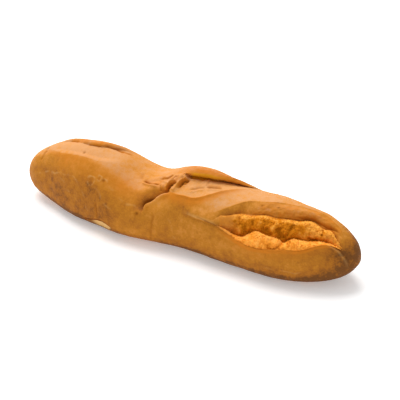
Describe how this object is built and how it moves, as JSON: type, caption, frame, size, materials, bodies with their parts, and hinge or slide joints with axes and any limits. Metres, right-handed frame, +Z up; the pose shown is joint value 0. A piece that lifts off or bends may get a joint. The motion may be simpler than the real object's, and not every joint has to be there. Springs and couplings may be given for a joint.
{
  "type": "baguette",
  "caption": "Short crusty loaf with three slanting scores, one lifted ear and a long torn opening at one end, resting on its flat base",
  "frame": {"origin": "centre of the bounding box in plan, at the level of the flat base", "axes": "+X along the loaf towards the end with the long open score, -Y the side the scores open to, +Z up"},
  "size_m": [0.28, 0.0746, 0.0572],
  "materials": {
    "crust": "golden brown baked crust, matt to faintly satin, paler on the top and browner on the flanks"
  },
  "bodies": {
    "root": {"loaf": "crust"}
  },
  "joints": []
}
